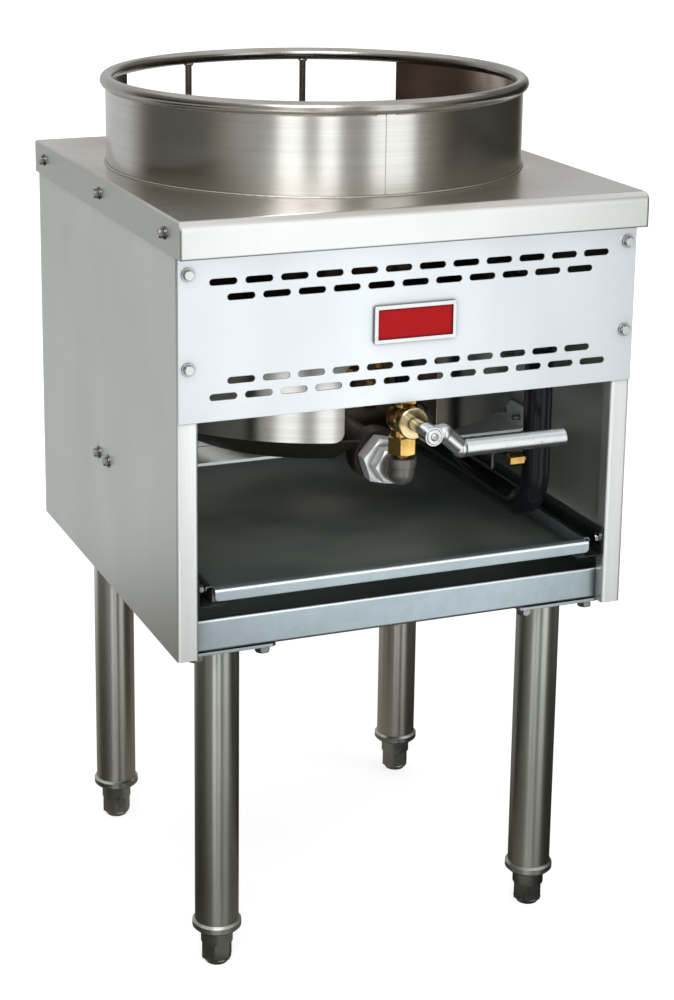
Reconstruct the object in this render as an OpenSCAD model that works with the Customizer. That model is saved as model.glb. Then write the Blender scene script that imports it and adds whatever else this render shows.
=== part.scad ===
// Single-ring wok burner on a four-legged stainless cabinet.
// Millimetres, +Z up, front towards -Y, floor at Z = 0, origin at the middle of the footprint.

/* [Sheet metal] */
// Thickness of the cabinet sheet
sheet = 1.5; // [1:0.1:2.5]
// Inner radius of the folded edges
bend_r = 1.5; // [0.5:0.1:3]

/* [Cabinet] */
// Width over the side panels
cab_w = 453; // [430:1:560]
// Depth of the side panels
cab_d = 454; // [430:1:560]
// Height from the cabinet's underside to the deck's underside
cab_h = 405.5; // [380:0.5:500]
// Height of the cabinet's underside above the floor
cab_z0 = 340; // [280:1:420]
// Width of the folded front and rear posts
post_w = 20; // [16:1:30]
// Depth of the lip behind the front post
post_lip = 14; // [10:1:20]
// Height of the cross rails under the cabinet
rail_h = 32; // [24:1:50]
// Depth of the cross rails' bottom flange
rail_d = 92; // [88:1:120]
// Depth of the cross rails' top flange
rail_lip = 48; // [15:1:80]

/* [Deck] */
// Height of the deck's skirt
skirt_h = 33; // [25:1:45]
// Radius of the front nose
nose_r = 9; // [4:0.5:14]
// How far the apron stands in front of the side panels
apron_reach = 16.7; // [10:0.1:30]
// How far the rear skirt stands behind the side panels
rear_reach = 4.5; // [4:0.1:12]

/* [Wok ring] */
// Outer diameter of the ring wall
ring_d = 411; // [340:1:415]
// Thickness of the ring wall
ring_t = 2; // [1.5:0.1:4]
// Diameter of the rolled rim tube
rim_d = 12.7; // [10:0.1:20]
// Height of the rim's top above the deck
ring_h = 87.4; // [60:0.1:140]
// Distance from the ring wall to the deck's rear edge
ring_rear_gap = 6; // [2:0.5:20]
// Height of the ring wall that hangs below the deck
ring_drop = 232; // [180:1:235]
// Sill height of the rear window above the deck
window_sill = 25; // [10:1:40]
// Angle that the rear window spans
window_angle = 95; // [40:1:110]
// Angle between the two rods in the rear window
rod_angle = 37; // [20:1:38]
// Diameter of the rods
rod_d = 7; // [5:0.5:10]

/* [Vent panel] */
// Height of the vent panel's lower edge above the cabinet's underside
vent_z = 224; // [200:1:250]
// Length of a slot
slot_l = 26; // [15:1:40]
// Height of a slot
slot_h = 6.2; // [4:0.1:9]
// Distance from slot to slot along a row
slot_pitch = 33.4; // [32:0.1:50]
// Distance between the two rows of a pair
slot_row = 14.2; // [10:0.1:20]
// Clear margin at each end of the long rows
slot_margin = 28; // [22:1:60]
// Width of the plate on the vent panel
badge_w = 81; // [50:1:110]
// Height of the plate on the vent panel
badge_h = 35; // [20:1:45]

/* [Legs and feet] */
// Outer diameter of the leg tube
leg_d = 42.4; // [32:0.1:52]
// Wall of the leg tube
leg_t = 1.5; // [1:0.1:3]
// Distance from a side panel's outer face to the leg's axis
leg_inset = 57.7; // [45:0.1:80]
// Distance from the cabinet's front edge to the front legs' axis
leg_front = 58.3; // [50:0.1:80]
// Distance from the cabinet's rear edge to the rear legs' axis
leg_rear = 62.7; // [50:0.1:80]
// Side of the square mounting plate
plate_w = 88; // [70:1:110]
// Thickness of the mounting plate
plate_t = 3; // [2:0.5:6]
// Distance between the mounting plate's bolts
plate_pitch = 66; // [56:1:80]
// Diameter of the foot
foot_d = 31; // [24:0.5:40]
// Height of the foot below the collar
foot_h = 37; // [25:0.5:60]
// Diameter of the foot's threaded stem
stem_d = 12; // [8:0.5:16]
// Length of the stem inside the leg
stem_l = 45; // [30:1:60]

/* [Drip tray] */
// Depth of the tray's walls
tray_h = 15; // [10:1:25]
// Height of the tray's floor above the cabinet's underside
tray_z = 50; // [45:0.5:60]
// Gap from the front post's face to the tray's front wall
tray_front = 9.5; // [4:0.5:20]
// Reach of the lip in front of the tray's front wall
tray_lip_d = 9; // [7:0.5:9.5]
// Height of the lip in front of the tray
tray_lip_h = 11; // [9:0.5:14]
// Gap from the tray's rear wall to the cabinet's rear edge
tray_rear = 34; // [26:1:60]
// Gap between the tray's side wall and its runner
tray_gap = 14.5; // [12:0.5:20]
// Width of the shelf that carries the tray
runner_shelf = 27; // [20:1:40]
// Height of the runner's upright
runner_h = 28; // [20:1:36]

/* [Gas train] */
// Distance from the cabinet's front edge to the valve's axis, inwards
valve_y = 20; // [20:0.5:22]
// Height of the valve stem's axis above the cabinet's underside
stem_z = 203.5; // [195:0.5:205]
// Height of the lower elbow's axis above the cabinet's underside
gas_z = 150; // [146:0.5:152]
// Diameter of the black supply pipe
supply_d = 26.7; // [21.3:0.1:27]
// Wall of the black supply pipe
supply_t = 2.9; // [2:0.1:4]
// Distance of the supply pipe from the centre line
supply_x = 140; // [120:1:150]
// Height of the supply pipe's lower run above the cabinet's underside
supply_z = 94; // [86:0.5:98]
// Centre-line radius of the supply pipe's bend
supply_bend = 40; // [34:1:60]
// Height of the manifold's axis above the cabinet's underside
manifold_z = 312; // [290:1:330]
// Diameter of the manifold pipe
manifold_d = 21.3; // [17:0.1:22]
// Length of the supply pipe behind the back panel
inlet_stub = 26; // [15:1:60]
// Distance from the cabinet's front edge to the lever's axis, outwards
lever_y = 40; // [35:0.5:50]
// Diameter of the lever rod
lever_d = 16; // [10:0.5:20]
// Reach of the lever from the stem to its tip
lever_reach = 136; // [90:1:160]
// Drop of the lever rod below the stem
lever_drop = 16; // [10:0.5:24]

/* [Burner] */
// Diameter of the cast burner body
burner_d = 190; // [150:1:220]
// Height of the cast burner body
burner_h = 34; // [28:1:45]
// Height of a brass jet above the burner body
jet_h = 26; // [15:1:35]
// Jets in the inner and the outer circle
jet_counts = [6, 12];
// Radius of the opening in the chamber floor
floor_open_r = 125; // [115:1:135]
// Radius of the chamber floor's flat bottom
floor_flat_r = 140; // [138:1:160]
// Height of the chamber floor's rim inside the ring wall
floor_rim = 10; // [6:1:20]
// Thickness of the chamber floor
floor_t = 3; // [2:0.5:5]
// Depth of the chamber floor's dish below the ring wall
floor_show = 35; // [20:1:38]
// Width of the notch for the burner's neck
notch_w = 94; // [70:1:110]
// Height of the notch above the ring wall's lower edge
notch_h = 75; // [60:1:100]
// Width of the strap under the burner
strap_w = 52; // [48:1:70]
// Thickness of the strap under the burner
strap_t = 3; // [2:0.5:5]
// Height of the strap's top above the cabinet's underside
strap_z = 118; // [114:0.5:120]

/* [Fasteners and clearances] */
// Hexagon of the panel bolts, across flats
bolt_af = 8; // [6:0.5:10]
// Diameter of the panel bolts
bolt_d = 5.8; // [4:0.1:6]
// Washer diameter of the panel bolts
washer_d = 12; // [10:0.5:14]
// Gap between sheet parts that slide over each other
gap = 0.3; // [0.2:0.05:0.5]
// Radial clearance of turning and screwed parts
fit = 0.06; // [0.03:0.01:0.1]

/* [Hidden] */
$fn = 64;

// Colours of the finishes
bright_steel = "#c9cbcc";
brushed_steel = "#a9a6a2";
galvanised = "#aab6bd";
dark_iron = "#3a3633";
grey_iron = "#6f6a66";
yellow_brass = "#c9a04e";
black_paint = "#18191b";

// Heights
bend = bend_r + sheet;
cab_top = cab_z0 + cab_h;
deck_top = cab_top + sheet;
rim_r = rim_d / 2;
rim_z = deck_top + ring_h - rim_r;
wall_top = rim_z - rim_r - fit;
wall_z0 = deck_top - ring_drop;
sill_z = deck_top + window_sill;
floor_z0 = wall_z0 - floor_show;
axis_z = cab_z0 + gas_z;
lever_z = cab_z0 + stem_z;
supply_low = cab_z0 + supply_z;
manifold_top = cab_z0 + manifold_z;
strap_top = cab_z0 + strap_z;

// Depths: the origin lies halfway between the lever's screw and the end of the gas inlet
screw_head_t = 2.5;
screw_head_r = 3.6;
screw_washer_r = 7;
screw_r = 2.4;
screw_l = 9;
hub_l = lever_d + 1;
front_reach = lever_y + hub_l / 2 + screw_head_t;
y_front = (front_reach - cab_d - sheet - inlet_stub) / 2;
y_rear = y_front + cab_d;
y_mid = (y_front + y_rear) / 2;
valve_cy = y_front + valve_y;
lever_cy = y_front - lever_y;
inlet_end = y_rear + sheet + inlet_stub;

// Cabinet
post_x = cab_w / 2 - post_w;
panel_x = cab_w / 2 - sheet;
deck_w = cab_w + 2 * (gap + sheet);
vent_w = cab_w - 2;
vent_z0 = cab_z0 + vent_z;
vent_z1 = cab_top - 4;
rail_y = y_front + post_lip + gap;

// Ring and chamber
ring_r = ring_d / 2;
ring_mid = ring_r - ring_t / 2;
ring_y = y_rear + rear_reach - ring_rear_gap - ring_r;
floor_r = ring_r - ring_t - gap;
notch_r = 10;

// Bolt places
bolt_hole_d = bolt_d + 2 * gap;
bolt_l = 9;
deck_bolt_z = deck_top - skirt_h / 2;
deck_bolt_inset = 28;
deck_bolt_ys = [y_front + deck_bolt_inset, y_mid, y_rear - deck_bolt_inset];
post_bolt_x = cab_w / 2 - post_w / 2;
vent_bolt_zs = [vent_z0 + 49.5, vent_z0 + 134.5];
back_bolt_zs = [cab_z0 + 40, cab_z0 + cab_h / 2, cab_top - 60];
strap_y = ring_y - 18;
strap_tab = 26;
strap_bolt_pitch = 32;
strap_bolt_z = strap_top + 9.5;
strap_bolt_ys = [strap_y - strap_bolt_pitch / 2, strap_y + strap_bolt_pitch / 2];
runner_z0 = cab_z0 + tray_z - sheet - gap;
runner_bolt_z = runner_z0 + runner_h - 11;
runner_bolt_ys = [y_front + 9, y_rear - 9];

// Vent slots and the plate between them
slot_z = 22;
slot_rise = 111.7;
slot_zs = [slot_z, slot_z + slot_row, slot_rise, slot_rise + slot_row];
slot_long = floor((vent_w - 2 * slot_margin - slot_l) / slot_pitch) + 1;
slot_counts = [slot_long, slot_long - 1, slot_long - 1, slot_long];
badge_z = vent_z0 + 75;
badge_rim = 3.5;
badge_t = 3;
badge_r = 2;

// Legs
leg_r = leg_d / 2;
leg_x = cab_w / 2 - leg_inset;
leg_ys = [y_front + leg_front, y_rear - leg_rear];
plate_z0 = cab_z0 - plate_t;
plate_bolt_d = 8;
plate_bolt_af = 13;
plate_washer_d = 16;
plate_r = 6;
collar_h = 9;
collar_r = leg_r + 2.6;
collar_z0 = foot_h + gap;
leg_z0 = collar_z0 + collar_h;
collar_edge = 2;
plug_l = 38;
foot_edge = 5;
foot_step = 1.5;

// Tray
tray_x = post_x - sheet - tray_gap;
tray_y0 = y_front + tray_front;
tray_y1 = y_rear - tray_rear;
tray_z0 = cab_z0 + tray_z;
tray_lip_r = 4;

// Gas train
elbow_r = 12;
elbow_face = 15;
elbow_wall = 3;
nipple_r = 8.5;
passage_r = 5;
socket = 6;
stem_r = 6;
bonnet_r = 15;
bonnet_t = 5.5;
valve_hex = 25;
valve_r = 11;
valve_ball_r = 16;
valve_boss_r = 12;
stem_in = 7;
valve_neck = 4;
valve_hex_h = 17;
valve_top = lever_z + 31;
hub_r = lever_d / 2 + 0.7;
elbow_x = 31;
lever_stub = hub_r + 4;
tip_edge = 1;
supply_r = supply_d / 2;
supply_face = 24;
inlet_nut_t = 8;
inlet_nut_af = 38;
inlet_thread_r = supply_r - 0.35;
inlet_thread_l = 18;
supply_top = manifold_top - supply_face + socket;
manifold_r = manifold_d / 2;
bushing_y = valve_cy + elbow_face + 2;
bushing_step = 16;
bushing_hex = 18;
bushing_af = [32, 42];
bushing_turn = 12;
neck_y = bushing_y + bushing_step + bushing_hex;
boss_r = 26;
boss_l = 20;
neck_r = 16;
neck_t = 5;
neck_taper = 14;
thread_r = 20.5;
thread_l = 15;
pilot_af = 11;
pilot_l = 15;
pilot_r = 4;
pilot_in = 6;
pilot_x = supply_x - supply_r - 9;
pilot_tube_r = 2.4;
pilot_low = floor_z0 - 12;
pilot_clear = ring_r + 10;
pilot_drop_y = ring_y - sqrt(pow(pilot_clear, 2) - pow(pilot_x, 2));
pilot_turn = [85, ring_y - 70];

// Burner
burner_z0 = strap_top + 14;
burner_top = burner_z0 + burner_h;
burner_edge = 10;
pilot_tip_z = burner_top + 2;
tip_l = 12;
tip_r = 4.5;
nozzle_l = 4;
nozzle_r = 3.2;
jet_circles = [40, 75];
jet_r = 5.5;
jet_af = 13;
jet_hex_h = 6.5;
jet_tip_h = 5;
jet_tip_r = 3.6;
jet_bore_r = 1.6;
lug_x = 40;
lug_r = 9;
lug_screw_d = 6;
lug_screw_af = 10;
lug_washer_d = 14;
lug_thread = 10;

// Radius to the corners of a hexagon
function hex_r(af) = af / sqrt(3);

// Places on a circle of n, for the burner's jets
function on_circle(n, r) = [for (i = [0:n - 1]) [r * sin(360 * i / n), r * cos(360 * i / n)]];

jet_places = concat(
    [[0, 0]],
    on_circle(jet_counts[0], jet_circles[0]),
    on_circle(jet_counts[1], jet_circles[1])
);

// Quarter of a ring that joins two straight runs of folded sheet
module fold(t, r) {
    intersection() {
        difference() {
            circle(r + t);
            circle(r);
        }
        square(r + t);
    }
}

// Folded sheet seen end on, from runs of [straight length, turn]: the sheet lies left of its path
module folded(runs, t = sheet, r = bend_r, i = 0) {
    run = runs[i][0];
    turn = runs[i][1];
    square([run, t]);
    if (turn > 0)
        translate([run, t + r]) {
            rotate(-90) fold(t, r);
            translate([r + t, 0]) rotate(90) folded(runs, t, r, i + 1);
        }
}

// What a rounded corner takes off a square one
module outside_arc(r) {
    difference() {
        square(2 * r);
        circle(r);
    }
}

// Rectangle on the X axis with its two upper corners rounded
module rounded_top(w, h, r0, r1) {
    difference() {
        square([w, h]);
        translate([r0, h - r0]) rotate(90) outside_arc(r0);
        translate([w - r1, h - r1]) outside_arc(r1);
    }
}

// Centred rectangle with four rounded corners
module rounded_rect(w, h, r) {
    square([w - 2 * r, h], center = true);
    square([w, h - 2 * r], center = true);
    for (x = [-1, 1], y = [-1, 1])
        translate([x * (w / 2 - r), y * (h / 2 - r)]) circle(r);
}

// Extrusions of an end view: drawn in Y and Z and run along X, or drawn in X and Z and run along Y
module along_x(x0, x1) {
    translate([x0, 0, 0]) rotate([90, 0, 90]) linear_extrude(x1 - x0) children();
}

module along_y(y0, y1) {
    translate([0, y1, 0]) rotate([90, 0, 0]) linear_extrude(y1 - y0) children();
}

module rod_x(x0, x1, r) {
    translate([x0, 0, 0]) rotate([0, 90, 0]) cylinder(h = x1 - x0, r = r);
}

module rod_y(y0, y1, r) {
    translate([0, y0, 0]) rotate([-90, 0, 0]) cylinder(h = y1 - y0, r = r);
}

module rod_z(z0, z1, r) {
    translate([0, 0, z0]) cylinder(h = z1 - z0, r = r);
}

// Hexagon with its corners chamfered at both ends, from the origin along +Z
module hex_nut(h, af) {
    face_r = 0.49 * af;
    edge_r = hex_r(af) + 1;
    edge = (edge_r - face_r) * tan(30);
    intersection() {
        cylinder(h = h, r = hex_r(af), $fn = 6);
        rotate_extrude() polygon([
            [0, 0], [face_r, 0], [edge_r, edge], [edge_r, h - edge], [face_r, h], [0, h]
        ]);
    }
}

module hex_y(y0, y1, af) {
    translate([0, y0, 0]) rotate([-90, 0, 0]) hex_nut(y1 - y0, af);
}

// Round tube along a list of points, with round corners
module tube_along(points, r) {
    for (i = [1:len(points) - 1]) {
        step = points[i] - points[i - 1];
        translate(points[i - 1]) rotate([0, acos(step[2] / norm(step)), atan2(step[1], step[0])])
            cylinder(h = norm(step), r = r);
        if (i < len(points) - 1)
            translate(points[i]) sphere(r);
    }
}

// Bolt with a washer under its hexagon: the seat at the origin, the shank along -Z
module bolt(l, d = bolt_d, af = bolt_af, washer = washer_d) {
    washer_t = 1.2;
    head_t = af / 2;
    translate([0, 0, -l]) cylinder(h = l, d = d);
    cylinder(h = washer_t, d = washer);
    translate([0, 0, washer_t]) intersection() {
        cylinder(h = head_t, r = hex_r(af), $fn = 6);
        cylinder(h = head_t, r1 = af * 0.75, r2 = af * 0.5);
    }
}

// Holes and bolts share their places, with the bolt's head towards +Z
module side_bolt_places() {
    for (y = deck_bolt_ys)
        translate([deck_w / 2, y, deck_bolt_z]) rotate([0, 90, 0]) children();
}

module strap_bolt_places() {
    for (y = strap_bolt_ys)
        translate([cab_w / 2, y, strap_bolt_z]) rotate([0, 90, 0]) children();
}

module vent_bolt_places() {
    for (z = vent_bolt_zs)
        translate([post_bolt_x, y_front - sheet, z]) rotate([90, 0, 0]) children();
}

module back_bolt_places() {
    for (z = back_bolt_zs)
        translate([post_bolt_x, y_rear + sheet, z]) rotate([-90, 0, 0]) children();
}

module runner_bolt_places() {
    for (y = runner_bolt_ys)
        translate([post_x - sheet, y, runner_bolt_z]) rotate([0, -90, 0]) children();
}

module plate_bolt_places() {
    for (sx = [-1, 1], y = leg_ys, dx = [-1, 1], dy = [-1, 1])
        translate([sx * leg_x + dx * plate_pitch / 2, y + dy * plate_pitch / 2, plate_z0])
            rotate([180, 0, 0]) children();
}

module both_sides() {
    children();
    mirror([1, 0, 0]) children();
}

module bolt_hole(d = bolt_hole_d) {
    cylinder(h = post_w, d = d, center = true);
}

// Cabinet
module side_panel() {
    lip = post_lip - bend;
    post = post_w - 2 * bend;
    difference() {
        translate([post_x, y_front + post_lip, cab_z0]) linear_extrude(cab_h - bend_r) rotate(-90)
            folded([[lip, 1], [post, 1], [cab_d - 2 * bend, 1], [post, 1], [lip, 0]]);
        side_bolt_places() bolt_hole();
        strap_bolt_places() bolt_hole();
        vent_bolt_places() bolt_hole();
        back_bolt_places() bolt_hole();
        runner_bolt_places() bolt_hole();
    }
}

module right_side_panel() {
    color(bright_steel) side_panel();
}

module left_side_panel() {
    color(bright_steel) mirror([1, 0, 0]) side_panel();
}

module back_panel() {
    color(bright_steel) difference() {
        translate([-vent_w / 2, y_rear, cab_z0 + 1]) cube([vent_w, sheet, cab_h - 2]);
        both_sides() back_bolt_places() bolt_hole();
        translate([supply_x, 0, supply_low]) rod_y(y_rear - sheet, y_rear + 2 * sheet, supply_r + 1);
    }
}

module back_panel_bolts() {
    color(bright_steel) both_sides() back_bolt_places() bolt(bolt_l);
}

// Cross rails that carry the legs
module rail_channel() {
    along_x(-panel_x, panel_x)
        translate([rail_y + rail_lip, cab_z0 + rail_h]) rotate(180)
            folded([[rail_lip - bend, 1], [rail_h - 2 * bend, 1], [rail_d - bend, 0]]);
}

module front_rail() {
    color(galvanised) difference() {
        rail_channel();
        plate_bolt_places() bolt_hole(plate_bolt_d + 2 * gap);
    }
}

module rear_rail() {
    color(galvanised) difference() {
        translate([0, 2 * y_mid, 0]) mirror([0, 1, 0]) rail_channel();
        plate_bolt_places() bolt_hole(plate_bolt_d + 2 * gap);
    }
}

// Deck with its folded skirt and round front nose
module deck_block(inset) {
    y0 = y_front - apron_reach + inset;
    y1 = y_rear + rear_reach - inset;
    w = deck_w - 2 * inset;
    h = skirt_h + inset;
    z0 = deck_top - skirt_h - 2 * inset;
    translate([0, 0, z0]) intersection() {
        along_x(-w / 2, w / 2) translate([y0, 0]) rounded_top(y1 - y0, h, nose_r - inset, bend - inset);
        along_y(y0, y1) translate([-w / 2, 0]) rounded_top(w, h, bend - inset, bend - inset);
    }
}

module deck() {
    color(bright_steel) difference() {
        deck_block(0);
        deck_block(sheet);
        translate([0, ring_y, 0]) rod_z(cab_top - 1, deck_top + 1, ring_r + gap);
        both_sides() side_bolt_places() bolt_hole();
    }
}

module deck_bolts() {
    color(bright_steel) both_sides() side_bolt_places() bolt(bolt_l);
}

// Wok ring: rolled wall through the deck, rim tube, rear window with two rods, front notch
module notch_outline() {
    translate([-notch_w / 2, -1]) rounded_top(notch_w, notch_h + 1, notch_r, notch_r);
    for (s = [-1, 1])
        translate([s * (notch_w / 2 + notch_r), notch_r]) rotate(s > 0 ? 180 : 270)
            intersection() {
                outside_arc(notch_r);
                square(notch_r + 1);
            }
}

module ring_wall() {
    color(brushed_steel) translate([0, ring_y, 0]) difference() {
        rod_z(wall_z0, wall_top, ring_r);
        rod_z(wall_z0 - 1, wall_top + 1, ring_r - ring_t);
        translate([0, 0, sill_z]) rotate_extrude(angle = window_angle, start = 90 - window_angle / 2)
            translate([ring_r - 2 * ring_t, 0]) square([3 * ring_t, wall_top - sill_z + 1]);
        translate([0, 0, wall_z0]) along_y(-ring_r - 1, -ring_r / 2) notch_outline();
    }
}

module ring_rim() {
    color(brushed_steel) translate([0, ring_y, rim_z])
        rotate_extrude() translate([ring_mid, 0]) circle(rim_r);
}

module ring_rods() {
    color(brushed_steel) translate([0, ring_y, 0])
        for (s = [-1, 1])
            rotate(s * rod_angle / 2) translate([0, ring_mid, 0]) rod_z(sill_z, wall_top, rod_d / 2);
}

// Vent panel with its four staggered rows of slots
module slot_outline() {
    square([slot_l - slot_h, slot_h], center = true);
    for (s = [-1, 1])
        translate([s * (slot_l - slot_h) / 2, 0]) circle(d = slot_h);
}

module vent_panel() {
    color(bright_steel) difference() {
        translate([-vent_w / 2, y_front - sheet, vent_z0]) cube([vent_w, sheet, vent_z1 - vent_z0]);
        along_y(y_front - 2 * sheet, y_front + sheet)
            for (row = [0:3], i = [0:slot_counts[row] - 1])
                translate([(i - (slot_counts[row] - 1) / 2) * slot_pitch, vent_z0 + slot_zs[row]])
                    slot_outline();
        both_sides() vent_bolt_places() bolt_hole();
    }
}

module vent_panel_bolts() {
    color(bright_steel) both_sides() vent_bolt_places() bolt(bolt_l);
}

module badge_frame() {
    face = y_front - sheet;
    color(bright_steel) along_y(face - badge_t, face) translate([0, badge_z]) difference() {
        rounded_rect(badge_w, badge_h, badge_r);
        square([badge_w - 2 * badge_rim, badge_h - 2 * badge_rim], center = true);
    }
}

module badge_plate() {
    color("#b3121b") translate([0, y_front - sheet - badge_t / 4, badge_z])
        cube([badge_w - 2 * badge_rim - gap, badge_t / 2, badge_h - 2 * badge_rim - gap], center = true);
}

// Dished chamber floor below the ring wall, open in the middle and slotted for the burner's neck
module chamber_outline() {
    rim_top = wall_z0 + floor_rim;
    polygon([
        [floor_open_r, floor_z0], [floor_flat_r, floor_z0], [floor_r, wall_z0], [floor_r, rim_top],
        [floor_r - floor_t, rim_top], [floor_r - floor_t, wall_z0 + floor_t / 2],
        [floor_flat_r, floor_z0 + floor_t], [floor_open_r, floor_z0 + floor_t]
    ]);
}

module chamber_floor() {
    neck_gap = 4;
    slot_w = 2 * (boss_r + neck_gap);
    color(dark_iron) translate([0, ring_y, 0]) difference() {
        rotate_extrude() chamber_outline();
        translate([-slot_w / 2, -ring_r, floor_z0 - 1]) cube([slot_w, ring_r, floor_show + 2]);
        translate([-notch_w / 2, -ring_r, wall_z0]) cube([notch_w, ring_r, floor_rim + 1]);
    }
}

// Cast burner with its neck, its lugs and its brass jets
module burner_disc() {
    flat_r = burner_d / 2 - burner_edge;
    rotate_extrude() {
        square([flat_r, burner_h]);
        translate([0, burner_edge]) square([burner_d / 2, burner_h - 2 * burner_edge]);
        for (z = [burner_edge, burner_h - burner_edge])
            translate([flat_r, z]) circle(burner_edge);
    }
}

module burner_neck() {
    rod_y(neck_y, neck_y + boss_l, boss_r);
    translate([0, neck_y + boss_l - 1, 0]) rotate([-90, 0, 0])
        cylinder(h = neck_taper, r1 = boss_r, r2 = neck_r);
    rod_y(neck_y + 1, ring_y, neck_r);
}

module lug_places() {
    for (s = [-1, 1])
        translate([s * lug_x, strap_y, strap_top]) children();
}

module burner_body() {
    color(dark_iron) difference() {
        union() {
            translate([0, ring_y, burner_z0]) burner_disc();
            translate([0, 0, axis_z]) burner_neck();
            lug_places() cylinder(h = burner_z0 - strap_top + 1, r = lug_r);
        }
        translate([0, 0, axis_z]) rod_y(neck_y - 1, neck_y + thread_l + 1, thread_r + fit);
        translate([0, 0, axis_z]) rod_y(neck_y, ring_y - burner_d / 4, neck_r - neck_t);
        lug_places() translate([0, 0, -1]) cylinder(h = lug_thread + 3, d = lug_screw_d + 2 * fit);
    }
}

module burner_jets() {
    color(yellow_brass) translate([0, ring_y, burner_top])
        for (p = jet_places)
            translate([p[0], p[1], 0]) difference() {
                union() {
                    cylinder(h = jet_hex_h, r = hex_r(jet_af), $fn = 6);
                    cylinder(h = jet_h - jet_tip_h, r = jet_r);
                    translate([0, 0, jet_h - jet_tip_h]) cylinder(h = jet_tip_h, r1 = jet_r, r2 = jet_tip_r);
                }
                translate([0, 0, jet_hex_h]) cylinder(h = jet_h, r = jet_bore_r);
            }
}

module burner_strap() {
    strap_bend = 2 * strap_t;
    tab = strap_tab - strap_bend;
    color(galvanised) difference() {
        along_y(strap_y - strap_w / 2, strap_y + strap_w / 2)
            translate([-panel_x, strap_top - strap_t + strap_tab]) rotate(-90)
                folded([[tab, 1], [2 * (panel_x - strap_bend), 1], [tab, 0]], strap_t, strap_t);
        both_sides() strap_bolt_places() bolt_hole();
        lug_places() bolt_hole(lug_screw_d + 2 * gap);
    }
}

module strap_bolts() {
    color(bright_steel) both_sides() strap_bolt_places() bolt(bolt_l + strap_t);
}

module burner_screws() {
    color(bright_steel) lug_places() translate([0, 0, -strap_t]) rotate([180, 0, 0])
        bolt(strap_t + lug_thread, lug_screw_d, lug_screw_af, lug_washer_d);
}

// Gas train from the burner's neck forward to the valve
module inlet_bushing() {
    color(galvanised) translate([0, 0, axis_z]) difference() {
        union() {
            hex_y(bushing_y, neck_y, bushing_af[0]);
            rotate([0, bushing_turn, 0]) hex_y(bushing_y + bushing_step, neck_y, bushing_af[1]);
            rod_y(bushing_y + bushing_step, neck_y + thread_l, thread_r);
        }
        rod_y(bushing_y - 1, bushing_y + bushing_step, nipple_r + fit);
        rod_y(bushing_y, neck_y + thread_l + 1, passage_r);
    }
}

module close_nipple() {
    color(grey_iron) translate([0, 0, axis_z]) difference() {
        rod_y(valve_cy + elbow_face - socket, bushing_y + bushing_step, nipple_r);
        rod_y(valve_cy, bushing_y + 2 * bushing_step, passage_r);
    }
}

// Banded elbow with one port along +Z and one along +Y
module elbow(r, face, port_z, port_y) {
    band = r + 1.5;
    band_l = 0.55 * face;
    passage = min(port_z, port_y) - 2.5;
    difference() {
        union() {
            sphere(r);
            rod_z(0, face, r);
            rod_y(0, face, r);
            rod_z(face - band_l, face, band);
            rod_y(face - band_l, face, band);
        }
        rod_z(face - socket, face + 1, port_z + fit);
        rod_y(face - socket, face + 1, port_y + fit);
        rod_z(0, face, passage);
        rod_y(0, face, passage);
        sphere(passage);
    }
}

module lower_elbow() {
    color(grey_iron) translate([0, valve_cy, axis_z]) elbow(elbow_r, elbow_face, nipple_r, nipple_r);
}

module valve_body() {
    neck_z = axis_z + elbow_face;
    hex_z = neck_z + valve_neck;
    color(yellow_brass) translate([0, valve_cy, 0]) difference() {
        union() {
            rod_z(neck_z - socket, hex_z, nipple_r);
            for (z = [hex_z, valve_top - valve_hex_h])
                translate([0, 0, z]) hex_nut(valve_hex_h, valve_hex);
            rod_z(hex_z, valve_top, valve_r);
            translate([0, 0, lever_z]) sphere(valve_ball_r);
            translate([0, 0, lever_z]) rod_y(-valve_y, 0, valve_boss_r);
        }
        rod_z(neck_z - socket - 1, valve_top + 1, passage_r);
        rod_z(valve_top - socket, valve_top + 1, nipple_r + fit);
        translate([0, 0, lever_z]) rod_y(-valve_y - 1, stem_in + 2, stem_r + fit);
    }
}

module valve_bonnet() {
    edge = 1;
    color(yellow_brass) translate([0, y_front, lever_z]) rotate([90, 0, 0]) difference() {
        union() {
            cylinder(h = bonnet_t - edge, r = bonnet_r);
            translate([0, 0, bonnet_t - edge]) cylinder(h = edge, r1 = bonnet_r, r2 = bonnet_r - edge);
        }
        translate([0, 0, -1]) cylinder(h = bonnet_t + 2, r = stem_r + fit);
    }
}

// Lever that turns the valve
module valve_stem() {
    color(bright_steel) translate([0, 0, lever_z]) difference() {
        rod_y(lever_cy - hub_l / 2 + gap, valve_cy + stem_in, stem_r);
        rod_y(lever_cy - hub_l, lever_cy + hub_l / 2, screw_r + fit);
    }
}

module lever() {
    run = elbow_x - lever_stub;
    slope = atan2(lever_drop, run);
    r = lever_d / 2;
    corner_r = 1.01 * r / cos(slope / 2);
    shank = lever_reach - elbow_x - tip_edge;
    color(bright_steel) translate([0, lever_cy, lever_z]) difference() {
        union() {
            rod_y(-hub_l / 2, hub_l / 2, hub_r);
            rod_x(0, lever_stub, r);
            translate([lever_stub, 0, 0]) {
                sphere(corner_r);
                rotate([0, slope, 0]) rod_x(0, norm([run, lever_drop]), r);
            }
            translate([elbow_x, 0, -lever_drop]) {
                sphere(corner_r);
                rod_x(0, shank, r);
                translate([shank, 0, 0]) rotate([0, 90, 0]) cylinder(h = tip_edge, r1 = r, r2 = r - tip_edge);
            }
        }
        rod_y(-hub_l, hub_l, stem_r + fit);
    }
}

module lever_screw() {
    seat = lever_cy - hub_l / 2;
    color(bright_steel) translate([0, 0, lever_z]) {
        rod_y(seat, seat + screw_l, screw_r);
        rod_y(seat - 1, seat, screw_washer_r);
        rod_y(seat - screw_head_t, seat - 1, screw_head_r);
    }
}

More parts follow.
